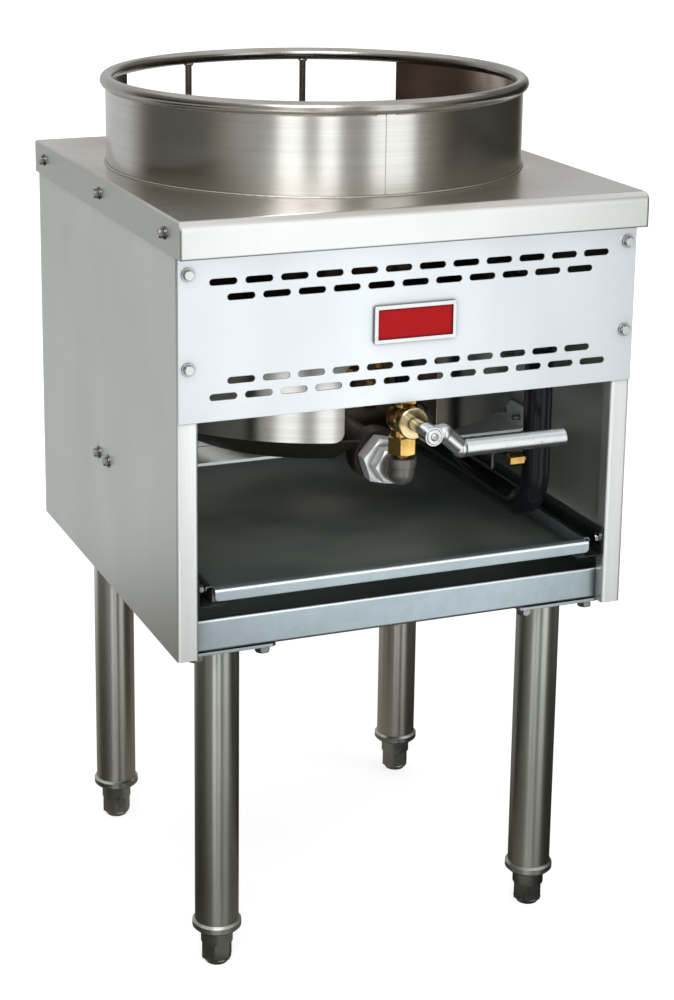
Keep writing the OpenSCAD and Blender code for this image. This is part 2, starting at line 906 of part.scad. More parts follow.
// Gas train from the valve up, across and down the supply pipe to the rear inlet
module riser_nipple() {
    color(black_paint) translate([0, valve_cy, 0]) difference() {
        rod_z(valve_top - socket, manifold_top - supply_face + socket, nipple_r);
        rod_z(valve_top - 2 * socket, manifold_top, passage_r);
    }
}

module valve_elbow() {
    color(dark_iron) translate([0, valve_cy, manifold_top]) rotate([180, 0, 90])
        elbow(manifold_r + elbow_wall, supply_face, nipple_r, manifold_r);
}

module manifold_pipe() {
    color(black_paint) translate([0, valve_cy, manifold_top]) difference() {
        rod_x(supply_face - socket, supply_x - supply_face + socket, manifold_r);
        rod_x(0, supply_x, manifold_r - supply_t);
    }
}

module corner_elbow() {
    color(dark_iron) translate([supply_x, valve_cy, manifold_top]) rotate([180, 0, -90])
        elbow(supply_r + elbow_wall, supply_face, supply_r, manifold_r);
}

module supply_route(r, y1) {
    translate([supply_x, valve_cy, 0]) {
        rod_z(supply_low + supply_bend, supply_top, r);
        translate([0, supply_bend, supply_low + supply_bend]) rotate([0, -90, 0]) rotate(180)
            rotate_extrude(angle = 90) translate([supply_bend, 0]) circle(r);
        translate([0, 0, supply_low]) rod_y(supply_bend, y1 - valve_cy, r);
    }
}

module supply_pipe() {
    bore_r = supply_r - supply_t;
    color(black_paint) difference() {
        union() {
            supply_route(supply_r, inlet_end - inlet_thread_l);
            translate([supply_x, 0, supply_low])
                rod_y(inlet_end - 2 * inlet_thread_l, inlet_end, inlet_thread_r);
        }
        supply_route(bore_r, inlet_end + 1);
        translate([supply_x, valve_cy, supply_top - 1]) cylinder(h = 2, r = bore_r);
        translate([0, valve_cy, axis_z]) rod_x(supply_x - 2 * supply_r, supply_x, pilot_r + fit);
    }
}

module inlet_collar() {
    color(dark_iron) translate([supply_x, 0, supply_low]) difference() {
        hex_y(y_rear + sheet, y_rear + sheet + inlet_nut_t, inlet_nut_af);
        rod_y(y_rear, inlet_end, supply_r + fit);
    }
}

// Pilot light
module pilot_valve() {
    color(yellow_brass) translate([0, valve_cy, axis_z]) difference() {
        union() {
            translate([pilot_x - pilot_l / 2, 0, 0]) rotate([0, 90, 0])
                cylinder(h = pilot_l, r = hex_r(pilot_af), $fn = 6);
            rod_x(pilot_x, supply_x - supply_r + 2, pilot_r);
            translate([pilot_x, 0, 0]) rod_y(0, pilot_af, pilot_r);
        }
        translate([pilot_x, 0, 0]) rod_y(pilot_af - pilot_in, pilot_af + 1, pilot_tube_r + fit);
    }
}

module pilot_tube() {
    color(bright_steel) tube_along([
        [pilot_x, valve_cy + pilot_af - pilot_in, axis_z],
        [pilot_x, pilot_drop_y, axis_z],
        [pilot_x, pilot_drop_y, pilot_low],
        [pilot_x, pilot_turn[1], pilot_low],
        [pilot_turn[0], pilot_turn[1], pilot_low],
        [pilot_turn[0], pilot_turn[1], pilot_tip_z + pilot_in]
    ], pilot_tube_r);
}

module pilot_tip() {
    color(yellow_brass) translate([pilot_turn[0], pilot_turn[1], pilot_tip_z]) difference() {
        union() {
            rod_z(0, tip_l, tip_r);
            rod_z(tip_l, tip_l + nozzle_l, nozzle_r);
        }
        rod_z(-1, pilot_in, pilot_tube_r + fit);
        rod_z(pilot_in, tip_l + nozzle_l + 1, 1);
    }
}

// Drip tray on its two runners, with a folded lip to pull it by
module tray_lip() {
    face_y = tray_y0 - tray_lip_d;
    low_z = tray_z0 + tray_h - tray_lip_h;
    difference() {
        along_x(-tray_x, tray_x) translate([tray_y0 + sheet, tray_z0]) rotate(90)
            folded([[tray_h - bend, 1], [tray_lip_d + sheet - 2 * bend, 1], [tray_lip_h - bend, 0]]);
        along_y(face_y - 1, face_y + bend)
            for (s = [-1, 1])
                translate([s * (tray_x - tray_lip_r), low_z + tray_lip_r])
                    rotate(s > 0 ? 270 : 180) outside_arc(tray_lip_r);
    }
}

module drip_tray() {
    l = tray_y1 - tray_y0;
    color(galvanised) {
        translate([0, 0, tray_z0]) difference() {
            translate([-tray_x, tray_y0, 0]) cube([2 * tray_x, l, tray_h]);
            translate([-tray_x + sheet, tray_y0 + sheet, sheet])
                cube([2 * (tray_x - sheet), l - 2 * sheet, tray_h]);
            translate([-tray_x - 1, tray_y0 - 1, tray_h - bend]) cube([2 * tray_x + 2, sheet + 1, bend + 1]);
        }
        tray_lip();
    }
}

module runner() {
    difference() {
        along_y(y_front + sheet, y_rear - sheet)
            translate([post_x - runner_shelf, runner_z0])
                folded([[runner_shelf - bend, 1], [runner_h - bend, 0]]);
        runner_bolt_places() bolt_hole();
    }
}

module right_runner() {
    color(galvanised) runner();
}

module left_runner() {
    color(galvanised) mirror([1, 0, 0]) runner();
}

module runner_bolts() {
    color(bright_steel) both_sides() runner_bolt_places() bolt(bolt_l);
}

// Legs
module leg_plates() {
    color(galvanised) difference() {
        for (s = [-1, 1], y = leg_ys)
            translate([s * leg_x, y, plate_z0]) linear_extrude(plate_t)
                rounded_rect(plate_w, plate_w, plate_r);
        plate_bolt_places() bolt_hole(plate_bolt_d + 2 * gap);
    }
}

module leg_plate_bolts() {
    color(bright_steel) plate_bolt_places()
        bolt(bolt_l + plate_t, plate_bolt_d, plate_bolt_af, plate_washer_d);
}

module leg(side, y) {
    color(brushed_steel) translate([side * leg_x, y, 0]) difference() {
        rod_z(leg_z0, plate_z0, leg_r);
        rod_z(leg_z0 - 1, plate_z0 + 1, leg_r - leg_t);
    }
}

module leg_collars() {
    color(bright_steel)
        for (s = [-1, 1], y = leg_ys)
            translate([s * leg_x, y, collar_z0]) difference() {
                union() {
                    cylinder(h = collar_edge, r1 = collar_r - collar_edge, r2 = collar_r);
                    rod_z(collar_edge, collar_h - collar_edge, collar_r);
                    translate([0, 0, collar_h - collar_edge])
                        cylinder(h = collar_edge, r1 = collar_r, r2 = leg_r);
                    rod_z(collar_h, collar_h + plug_l, leg_r - leg_t - gap);
                }
                rod_z(-1, collar_h + plug_l + 1, stem_d / 2 + fit);
            }
}

module foot(side, y) {
    r = foot_d / 2;
    hex_top = 0.6 * foot_h;
    color(brushed_steel) translate([side * leg_x, y, 0]) {
        cylinder(h = foot_edge, r1 = r - foot_edge, r2 = r - foot_step);
        intersection() {
            translate([0, 0, foot_edge]) cylinder(h = hex_top - foot_edge, r = r, $fn = 6);
            rod_z(0, foot_h, r - foot_step / 3);
        }
        rod_z(hex_top, foot_h - foot_step, r);
        rod_z(foot_h - foot_edge, foot_h, r - foot_step);
        rod_z(foot_h, foot_h + stem_l, stem_d / 2);
    }
}

left_side_panel();
right_side_panel();
back_panel();
back_panel_bolts();
deck();
deck_bolts();
ring_wall();
ring_rim();
ring_rods();
vent_panel();
vent_panel_bolts();
badge_frame();
badge_plate();
chamber_floor();
burner_body();
burner_jets();
burner_strap();
strap_bolts();
burner_screws();
inlet_bushing();
close_nipple();
lower_elbow();
valve_body();
valve_bonnet();
valve_stem();
lever();
lever_screw();
riser_nipple();
valve_elbow();
manifold_pipe();
corner_elbow();
supply_pipe();
inlet_collar();
pilot_valve();
pilot_tube();
pilot_tip();
drip_tray();
left_runner();
right_runner();
runner_bolts();
front_rail();
rear_rail();
leg_plates();
leg_plate_bolts();
leg(-1, leg_ys[0]);  // leg_front_left
leg(1, leg_ys[0]);  // leg_front_right
leg(-1, leg_ys[1]);  // leg_rear_left
leg(1, leg_ys[1]);  // leg_rear_right
leg_collars();
foot(-1, leg_ys[0]);  // foot_front_left
foot(1, leg_ys[0]);  // foot_front_right
foot(-1, leg_ys[1]);  // foot_rear_left
foot(1, leg_ys[1]);  // foot_rear_right
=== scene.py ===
"""Looks of the wok burner: finishes, welds, lever screw, tray hems, pipe thread, studio and camera."""
import math

import bmesh
import bpy
from mathutils import Matrix, Vector

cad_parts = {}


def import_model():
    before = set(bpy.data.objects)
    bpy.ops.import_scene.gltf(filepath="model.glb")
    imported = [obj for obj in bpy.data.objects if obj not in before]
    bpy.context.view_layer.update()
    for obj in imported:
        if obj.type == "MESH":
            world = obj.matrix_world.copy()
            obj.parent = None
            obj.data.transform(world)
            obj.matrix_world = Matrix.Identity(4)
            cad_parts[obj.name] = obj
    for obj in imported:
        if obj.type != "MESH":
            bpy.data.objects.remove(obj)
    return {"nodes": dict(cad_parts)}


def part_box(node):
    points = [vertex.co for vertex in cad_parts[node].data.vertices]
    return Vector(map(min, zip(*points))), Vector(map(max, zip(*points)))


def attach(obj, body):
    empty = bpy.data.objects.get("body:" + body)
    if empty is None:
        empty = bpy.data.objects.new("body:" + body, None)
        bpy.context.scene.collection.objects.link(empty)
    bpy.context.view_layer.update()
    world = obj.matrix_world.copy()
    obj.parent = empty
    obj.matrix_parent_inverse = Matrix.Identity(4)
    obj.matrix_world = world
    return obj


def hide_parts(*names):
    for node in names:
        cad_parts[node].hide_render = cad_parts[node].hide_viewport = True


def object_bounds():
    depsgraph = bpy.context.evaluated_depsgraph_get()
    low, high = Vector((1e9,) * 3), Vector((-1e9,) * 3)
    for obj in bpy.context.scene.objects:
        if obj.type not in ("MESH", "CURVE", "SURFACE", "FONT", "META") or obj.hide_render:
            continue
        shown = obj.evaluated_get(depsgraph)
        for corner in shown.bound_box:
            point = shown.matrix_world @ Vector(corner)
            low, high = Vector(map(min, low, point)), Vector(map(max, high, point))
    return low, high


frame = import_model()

cad_low, cad_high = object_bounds()
NODES = frame["nodes"]
SCENE = bpy.context.scene
SCENE.view_settings.view_transform = "Standard"

# The photograph's frame in pixels, and where its optical axis meets it
IMAGE_W, IMAGE_H = 674, 1000
AXIS_PX = (280, 330)
FOCAL_PX = 2175.3
SENSOR_MM = 36.0

# Where the camera stands, in metres, and how it looks, in degrees
CAMERA_AT = Vector((-0.8045, -1.9521, 1.1097))
CAMERA_YAW = -21.22
CAMERA_PITCH = 14.1
CAMERA_ROLL = 0.4

# Places and sizes taken from the frame, in metres
RING_LOW, RING_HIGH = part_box("ring_wall")
RING_AT = (RING_LOW + RING_HIGH) / 2
RING_R = (RING_HIGH.x - RING_LOW.x) / 2
RIM_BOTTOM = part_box("ring_rim")[0].z
DECK_LOW, DECK_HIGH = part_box("deck")
DECK_TOP = DECK_HIGH.z
VENT_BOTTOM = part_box("vent_panel")[0].z
TRAY_LOW, TRAY_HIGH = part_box("drip_tray")

# How far the tray's lip stands out in front of its front wall, in metres
TRAY_LIP = 0.009
TRAY_WALL_Y = TRAY_LOW.y + TRAY_LIP

# Directions on the object
TO_FRONT = (0, -1, 0)
TO_TOP = (0, 0, 1)
TO_FRONT_BEND = (0, -0.8, 0.6)

MM_PER_M = 1000


def camera():
    """A camera at the photograph's viewing angle."""
    yaw, pitch, roll = (math.radians(a) for a in (CAMERA_YAW, CAMERA_PITCH, CAMERA_ROLL))
    ahead = Vector((-math.sin(yaw) * math.cos(pitch), math.cos(yaw) * math.cos(pitch), -math.sin(pitch)))
    level = Vector((math.cos(yaw), math.sin(yaw), 0.0))
    above = level.cross(ahead)
    right = math.cos(roll) * level + math.sin(roll) * above
    up = right.cross(ahead)
    data = bpy.data.cameras.new("camera")
    data.sensor_width = SENSOR_MM
    data.lens = FOCAL_PX / IMAGE_H * SENSOR_MM
    data.shift_x = (IMAGE_W / 2 - AXIS_PX[0]) / IMAGE_H
    data.shift_y = (AXIS_PX[1] - IMAGE_H / 2) / IMAGE_H
    eye = bpy.data.objects.new("camera", data)
    turn = Matrix((right, up, -ahead)).transposed().to_4x4()
    eye.matrix_world = Matrix.Translation(CAMERA_AT) @ turn
    SCENE.collection.objects.link(eye)
    SCENE.camera = eye


# Kinds of noise: octaves, and how much each finer one counts
CALM = (2.0, 0.5)
GENTLE = (2.0, 0.55)
SOFT = (3.0, 0.6)
CLOUDY = (4.0, 0.6)
PATCHY = (4.0, 0.65)
FINE = (4.0, 0.7)
SCUFFED = (5.0, 0.65)
SCRATCHED = (5.0, 0.7)

# The range where most of a noise lies, and a narrower one that sets tones further apart
USUAL = (0.3, 0.7)
NARROW = (0.35, 0.65)

# How open a corner is, from where the painted shade is full to where it ends, and samples for corners and
# for edges
OPENNESS = (0.3, 0.95)
CORNER_SAMPLES = 8
EDGE_SAMPLES = 4

# Painted shade in corners: on sheet, on small bright parts, on brass and on paint
CORNER_SHADE_TONE = (0.07, 0.07, 0.065)
DEEP_CORNER_SHADE_TONE = (0.03, 0.03, 0.028)
BROWN_CORNER_SHADE_TONE = (0.07, 0.045, 0.02)
BLACK_CORNER_SHADE_TONE = (0.002, 0.002, 0.002)

QUARTER_TURN = 0.25


class Look:
    """A material around one principled shader, with short ways to add its nodes."""

    def __init__(self, name, roughness, metallic=1.0, **sockets):
        self.material = bpy.data.materials.new(name)
        self.material.use_nodes = True
        self.tree = self.material.node_tree
        self.shader = self.tree.nodes["Principled BSDF"]
        self.set("Roughness", roughness)
        self.set("Metallic", metallic)
        for socket, value in sockets.items():
            self.set(socket.replace("_", " "), value)

    def set(self, socket, value):
        """Gives a socket of the shader a value or a link."""
        self.put(self.shader.inputs[socket], value)

    def put(self, socket, value):
        """Gives any socket a value or a link."""
        if isinstance(value, bpy.types.NodeSocket):
            self.tree.links.new(value, socket)
        elif hasattr(socket.default_value, "__len__") and len(value) < len(socket.default_value):
            socket.default_value = (*value, 1.0)
        else:
            socket.default_value = value

    def add(self, kind, inputs=(), **settings):
        """A new node with its settings and inputs."""
        node = self.tree.nodes.new(kind)
        for name, value in settings.items():
            setattr(node, name, value)
        for key, value in dict(inputs).items():
            self.put(node.inputs[key], value)
        return node

    def math(self, operation, a, b=0.0):
        """One step of arithmetic."""
        return self.add("ShaderNodeMath", {0: a, 1: b}, operation=operation).outputs[0]

    def vector(self, operation, a, b=(0, 0, 0)):
        """The outputs of one step of vector arithmetic."""
        return self.add("ShaderNodeVectorMath", {0: a, 1: b}, operation=operation).outputs

    def span(self, value, low, high, to_low=0.0, to_high=1.0, smooth=False):
        """Maps low..high to to_low..to_high, clamped."""
        inputs = {"Value": value, "From Min": low, "From Max": high, "To Min": to_low, "To Max": to_high}
        kind = "SMOOTHSTEP" if smooth else "LINEAR"
        return self.add("ShaderNodeMapRange", inputs, interpolation_type=kind).outputs["Result"]

    def blend(self, a, b, share):
        """Numbers a and b, added by their shares."""
        return self.math("ADD", self.math("MULTIPLY", a, 1 - share), self.math("MULTIPLY", b, share))

    def mix(self, share, a, b):
        """A colour between a and b."""
        node = self.add("ShaderNodeMix", data_type="RGBA")
        self.put(node.inputs["Factor"], share)
        self.put(node.inputs[6], a)
        self.put(node.inputs[7], b)
        return node.outputs[2]

    def place(self, stretch=(1, 1, 1)):
        """Object coordinates in metres, multiplied along each axis."""
        where = self.add("ShaderNodeTexCoord").outputs["Object"]
        return self.add("ShaderNodeMapping", {"Vector": where, "Scale": stretch}).outputs[0]

    def parts(self, vector):
        """A vector's x, y and z."""
        return self.add("ShaderNodeSeparateXYZ", {0: vector}).outputs

    def flat(self, point):
        """A point brought to height 0."""
        return self.vector("MULTIPLY", point, (1, 1, 0))[0]

    def from_axis(self, centre):
        """Distance from an upright axis through a point."""
        return self.vector("DISTANCE", self.flat(self.place()), (centre.x, centre.y, 0))["Value"]

    def faces(self, direction, low, high):
        """From 0 to 1 as the surface turns to a direction, by the cosine of the angle between them."""
        normal = self.add("ShaderNodeTexCoord").outputs["Normal"]
        return self.span(self.vector("DOT_PRODUCT", normal, direction)["Value"], low, high)

    def noise(self, stretch, kind):
        """Noise from 0 to 1 with so many cells a metre along each axis."""
        detail, roughness = kind
        inputs = {"Vector": self.place(stretch), "Scale": 1.0, "Detail": detail, "Roughness": roughness}
        return self.add("ShaderNodeTexNoise", inputs).outputs["Fac"]

    def cells(self, density):
        """A random value for each cell of a pattern with so many cells a metre."""
        inputs = {"Vector": self.place(), "Scale": density}
        colour = self.add("ShaderNodeTexVoronoi", inputs).outputs["Color"]
        return self.add("ShaderNodeSeparateColor", {"Color": colour}).outputs["Red"]

    def tones(self, value, pair, reach=USUAL):
        """A colour from a pale and a dark tone, paler as a value rises through a range."""
        pale, dark = pair
        return self.mix(self.span(value, *reach), dark, pale)

    def shaded_in_corners(self, colour, reach, corner_shade=CORNER_SHADE_TONE):
        """A colour with painted shade in corners narrower than so many metres."""
        corners = self.add("ShaderNodeAmbientOcclusion", {"Distance": reach}, samples=CORNER_SAMPLES)
        return self.mix(self.span(corners.outputs["AO"], *OPENNESS), corner_shade, colour)

    def roughen(self, value, from_rough, to_rough, reach=USUAL):
        """Roughness that goes from one level to another as a value rises through a range."""
        self.set("Roughness", self.span(value, *reach, from_rough, to_rough))

    def relief(self, height, depth, strength, edge=0.0):
        """Bump of so many metres, over edges that look rounded by so many."""
        inputs = {"Height": height, "Distance": depth, "Strength": strength}
        if edge:
            inputs["Normal"] = self.add("ShaderNodeBevel", {"Radius": edge}, samples=EDGE_SAMPLES).outputs[0]
        self.set("Normal", self.add("ShaderNodeBump", inputs).outputs[0])

    def brushed_round(self, amount):
        """Brushing that runs round an upright axis, which draws highlights out along it."""
        self.set("Anisotropic", amount)
        self.set("Anisotropic Rotation", QUARTER_TURN)
        self.set("Tangent", self.add("ShaderNodeTangent", direction_type="RADIAL", axis="Z").outputs[0])


def wear(node_names, look):
    """Gives CAD nodes a finish."""
    for name in node_names.split():
        slots = NODES[name].data.materials
        slots.clear()
        slots.append(look.material)


def dimmed(tone, share):
    """A tone at a share of its brightness."""
    return [share * c for c in tone]


def grain(look, along, fine, coarse=9.0):
    """Brush lines along one axis, with so many cells a metre across them and along them."""
    stretch = [fine] * 3
    stretch["xyz".index(along)] = coarse
    return look.noise(stretch, FINE)


# Pale and dark tones of sheet, ring and legs
SIDE_TONES = ((0.6, 0.625, 0.595), (0.515, 0.54, 0.51))
# The side sheet's front faces: a paler copy of its steel, painted light
LIT_SIDE_FRONT_TONE = (0.82, 0.84, 0.84)
VENT_TONES = ((0.67, 0.705, 0.73), (0.61, 0.65, 0.68))
DECK_TONES = ((0.72, 0.72, 0.705), (0.58, 0.575, 0.56))
# The deck's apron and side skirt: a paler and a darker copy of its steel, painted light and shade
LIT_APRON_TONES = ((0.76, 0.77, 0.76), (0.67, 0.68, 0.67))
SHADED_SKIRT_TONES = ((0.5, 0.51, 0.475), (0.4, 0.41, 0.375))
HEAT_TONE = (0.42, 0.36, 0.29)
# A painted shade line along the deck's lower edge and ends
EDGE_SHADE_TONE = (0.16, 0.17, 0.155)
RING_TONES = ((0.64, 0.63, 0.61), (0.54, 0.525, 0.5))
RING_INSIDE_TONES = ((0.54, 0.45, 0.39), (0.33, 0.26, 0.215))
# Painted shade for the ring wall's outside below the deck, inside the cabinet
BELOW_DECK_SHADE_TONE = (0.06, 0.042, 0.034)
RIM_TONES = ((0.44, 0.425, 0.405), (0.3, 0.285, 0.265))
RIM_MARK_TONE = (0.25, 0.22, 0.19)
ROD_TONES = ((0.34, 0.33, 0.32), (0.25, 0.24, 0.23))
# Legs and feet are one steel in two copies: darker at the front, painted shade, and paler at the back,
# painted light
SHADED_FRONT_LEG_TONES = ((0.58, 0.61, 0.57), (0.46, 0.49, 0.44))
LIT_REAR_LEG_TONES = ((0.88, 0.87, 0.82), (0.76, 0.75, 0.69))
SHADED_FRONT_FOOT_TONES = ((0.5, 0.54, 0.53), (0.36, 0.39, 0.38))
LIT_REAR_FOOT_TONES = ((0.74, 0.77, 0.76), (0.56, 0.58, 0.57))
PILOT_TUBE_TONES = ((0.13, 0.13, 0.12), (0.09, 0.09, 0.085))

# How much darker streaks are on sheet, scuffs on dark steel and marks on bright steel
STREAK_SHARE = 0.88
SCUFF_SHARE = 0.6
MARK_SHARE = 0.55

# The deck's painted shade line, in metres: how it fades up from its lower edge, and out to its ends
EDGE_SHADE_RISE = (0.0006, 0.0018)
EDGE_SHADE_END_FADE = (0.0022, 0.001)
# How the heat tint fades out from the ring, in metres
HEAT_FADE = (0.005, 0.13)
# The ring wall, in metres: how far inside its outer face the bright skin fades in
SKIN_FADE = (0.0018, 0.0004)
# Its band of painted shade, in metres: its start above the vent panel's lower edge, and its end below the
# deck's top
SHADE_BAND_START = (0.05, 0.085)
SHADE_BAND_END = (0.004, 0.002)


def sheet_steel(name, along, tones, lit_front_tone=None):
    """Satin stainless sheet with brush lines, clouds, smears and painted shade in corners; its front faces
    streaked and painted paler, as lit.
    """
    look = Look(name, 0.3, metallic=0.85)
    lines = grain(look, along, 1800.0)
    clouds = look.noise((4, 4, 4), CLOUDY)
    smears = look.noise((10, 10, 4), CALM)
    colour = look.tones(look.blend(lines, clouds, 0.65), tones)
    # Front faces take a paler, streaked tone: painted light
    if lit_front_tone:
        streaks = grain(look, along, 70.0, 1.2)
        front = look.tones(streaks, (lit_front_tone, dimmed(lit_front_tone, STREAK_SHARE)), NARROW)
        colour = look.mix(look.faces(TO_FRONT, 0.5, 0.9), colour, front)
    look.set("Base Color", look.shaded_in_corners(colour, 0.012))
    look.roughen(smears, 0.27, 0.35)
    look.relief(lines, depth=0.00002, strength=0.35, edge=0.0006)
    return look


def deck_steel():
    """Brushed deck: a brown heat tint round the ring; a paler apron and a darker skirt, painted light and
    shade by which way they face; and a painted shade line along the apron's lower edge and ends.
    """
    look = Look("deck_steel", 0.3)
    x, _, z = look.parts(look.place())
    hem = look.span(z, *(DECK_LOW.z + d for d in EDGE_SHADE_RISE), 1.0, 0.0)
    end = look.span(look.math("ABSOLUTE", x), *(DECK_HIGH.x - d for d in EDGE_SHADE_END_FADE))
    lines = grain(look, "x", 1500.0)
    clouds = look.noise((5, 5, 5), CLOUDY)
    near_ring = look.span(look.from_axis(RING_AT), *(RING_R + d for d in HEAT_FADE), 1.0, 0.0, smooth=True)
    heat = look.math("MULTIPLY", near_ring, look.span(clouds, 0.3, 0.65, 0.35, 1.0))
    top = look.mix(heat, look.tones(lines, DECK_TONES), HEAT_TONE)
    # Painted shade on the side skirt and painted light on the apron, chosen by which way each faces
    skirt = look.tones(clouds, SHADED_SKIRT_TONES)
    apron = look.tones(lines, LIT_APRON_TONES)
    sides = look.mix(look.faces(TO_FRONT, 0.3, 0.8), skirt, apron)
    # Painted shade along the front faces' lower edge and ends, where the apron meets the vent panel
    edge = look.math("MULTIPLY", look.math("MAXIMUM", hem, end), look.faces(TO_FRONT, 0.5, 0.9))
    sides = look.mix(edge, sides, EDGE_SHADE_TONE)
    look.set("Base Color", look.mix(look.faces(TO_TOP, 0.2, 0.7), sides, top))
    look.roughen(look.blend(lines, clouds, 0.5), 0.22, 0.36)
    look.relief(lines, depth=0.00003, strength=0.4, edge=0.0008)
    return look


def ring_steel():
    """Ring wall brushed around, browned by heat inside, and painted dark with shade outside in a band below
    the deck.
    """
    look = Look("ring_steel", 0.26)
    lines = look.noise((7, 7, 1600), FINE)
    streaks = look.noise((3, 3, 260), SOFT)
    clouds = look.noise((9, 9, 18), CLOUDY)
    polish = look.noise((5, 5, 9), CALM)
    z = look.parts(look.place())["Z"]
    outside = look.span(look.from_axis(RING_AT), *(RING_R - d for d in SKIN_FADE))
    bright = look.tones(look.blend(lines, streaks, 0.5), RING_TONES, (0.32, 0.68))
    browned = look.tones(clouds, RING_INSIDE_TONES, NARROW)
    # A band of painted shade on the wall's outside, from above the vent slots up to below the deck
    above_slots = look.span(z, *(VENT_BOTTOM + d for d in SHADE_BAND_START))
    below_deck = look.span(z, *(DECK_TOP - d for d in SHADE_BAND_END), 1.0, 0.0)
    bright = look.mix(look.math("MULTIPLY", above_slots, below_deck), bright, BELOW_DECK_SHADE_TONE)
    look.set("Base Color", look.mix(outside, browned, bright))
    look.roughen(polish, 0.22, 0.26)
    look.brushed_round(0.75)
    look.relief(lines, depth=0.00001, strength=0.15, edge=0.0005)
    return look


def rim_steel():
    """Rolled rim tube, drawn smooth, with a brown cast and darker marks."""
    look = Look("rim_steel", 0.28)
    clouds = look.noise((11, 11, 30), CLOUDY)
    marks = look.noise((160, 160, 160), FINE)
    colour = look.tones(clouds, RIM_TONES)
    look.set("Base Color", look.mix(look.span(marks, 0.62, 0.78), colour, RIM_MARK_TONE))
    look.roughen(look.blend(marks, clouds, 0.5), 0.17, 0.28)
    look.relief(marks, depth=0.00002, strength=0.3, edge=0.0004)
    return look


def tube_steel(name, tones, rough, brushing):
    """Drawn stainless tube of the legs, with streaks along it and painted shade in corners."""
    look = Look(name, rough)
    streaks = grain(look, "z", 260.0, 2.0)
    clouds = look.noise((14, 14, 7), CALM)
    colour = look.tones(look.blend(streaks, clouds, 0.5), tones)
    look.set("Base Color", look.shaded_in_corners(colour, 0.006))
    look.roughen(clouds, rough - 0.01, rough + 0.01)
    look.brushed_round(brushing)
    look.relief(clouds, depth=0.00002, strength=0.3)
    return look


def dark_steel(name, tones):
    """Duller bare steel with scuffs."""
    look = Look(name, 0.3)
    scuffs = look.noise((90, 90, 40), SCRATCHED)
    clouds = look.noise((30, 30, 30), SOFT)
    scuffed = dimmed(tones[1], SCUFF_SHARE)
    look.set("Base Color", look.mix(look.span(scuffs, 0.6, 0.75), look.tones(clouds, tones), scuffed))
    look.roughen(scuffs, 0.24, 0.4, (0.35, 0.7))
    look.relief(clouds, depth=0.00006, strength=0.4, edge=0.0007)
    return look


def steel_finishes():
    """Finishes of the sheets, ring, legs and feet."""
    side = sheet_steel("side_sheet", "z", SIDE_TONES, LIT_SIDE_FRONT_TONE)
    shaded_front_leg = tube_steel("tube_steel", SHADED_FRONT_LEG_TONES, rough=0.3, brushing=0.88)
    lit_rear_leg = tube_steel("lit_rear_tube_steel", LIT_REAR_LEG_TONES, rough=0.3, brushing=0.85)
    wear("left_side_panel right_side_panel back_panel", side)
    wear("vent_panel", sheet_steel("front_sheet", "x", VENT_TONES))
    wear("deck", deck_steel())
    wear("ring_wall", ring_steel())
    wear("ring_rim", rim_steel())
    wear("ring_rods", dark_steel("rod_steel", ROD_TONES))
    # Front legs, collars and front feet take darker copies, rear legs and feet paler ones: painted shade and
    # light
    wear("leg_front_left leg_front_right leg_collars", shaded_front_leg)
    wear("leg_rear_left leg_rear_right", lit_rear_leg)
    wear("foot_front_left foot_front_right", dark_steel("foot_steel", SHADED_FRONT_FOOT_TONES))
    wear("foot_rear_left foot_rear_right", dark_steel("lit_rear_foot_steel", LIT_REAR_FOOT_TONES))
    wear("pilot_tube", dark_steel("dull_tube", PILOT_TUBE_TONES))


# Pale and dark tones of zinc-coated parts
RAIL_TONES = ((0.52, 0.62, 0.67), (0.43, 0.52, 0.56))
TRAY_TONES = ((0.42, 0.5, 0.53), (0.34, 0.41, 0.44))
RUNNER_TONES = ((0.4, 0.47, 0.46), (0.32, 0.38, 0.37))
# Near-black painted shade on the runners' front ends
RUNNER_END_SHADE = (0.03, 0.034, 0.03)
# Pale dull zinc for the strap, painted paler still as lit though it lies in shade
LIT_STRAP_TONES = ((0.86, 0.9, 0.89), (0.76, 0.8, 0.79))
BUSHING_TONES = ((0.74, 0.76, 0.77), (0.6, 0.62, 0.63))
# A painted highlight on zinc faces that turn to the front and up
BEND_HIGHLIGHT_TONE = (0.92, 0.94, 0.95)

# Pale and dark tones on top faces behind a line, and where they set in, in metres: on the rails a painted
# shade, in the tray a darker greenish floor
RAIL_TOP_SHADE = ((0.17, 0.2, 0.18), (0.12, 0.16, 0.14))
TRAY_FLOOR_TONES = ((0.39, 0.43, 0.39), (0.25, 0.33, 0.31))
TOP_TONE_FADE = 0.002


def zinc(name, tones, rough=0.34, metallic=1.0, top_tones=None, top_from=0.0, corner_shade=0.02, ends=None):
    """Zinc-coated steel: faint crystals and clouds, a painted highlight on faces turned to the front and up,
    other tones on top behind a line, painted shade on front ends and in corners.
    """
    look = Look(name, rough, metallic)
    spangle = look.cells(120.0)
    clouds = look.noise((10, 10, 10), CLOUDY)
    smears = look.noise((6, 9, 9), CALM)
    colour = look.tones(look.blend(spangle, clouds, 0.82), tones, (0.25, 0.75))
    # On top faces behind a line: painted shade on the rails, the tray's darker floor tone
    if top_tones:
        behind = look.span(look.parts(look.place())["Y"], top_from, top_from + TOP_TONE_FADE)
        on_top = look.math("MULTIPLY", behind, look.faces(TO_TOP, 0.7, 0.95))
        colour = look.mix(on_top, colour, look.tones(smears, top_tones, (0.4, 0.6)))
    # Painted highlight where faces turn to the front and up
    colour = look.mix(look.faces(TO_FRONT_BEND, 0.9, 0.97), colour, BEND_HIGHLIGHT_TONE)
    # Painted shade on front-facing faces
    if ends:
        colour = look.mix(look.faces(TO_FRONT, 0.8, 0.95), colour, ends)
    look.set("Base Color", look.shaded_in_corners(colour, corner_shade))
    look.roughen(smears, rough - 0.05, rough + 0.05)
    look.relief(clouds, depth=0.00003, strength=0.3, edge=0.0006)
    return look


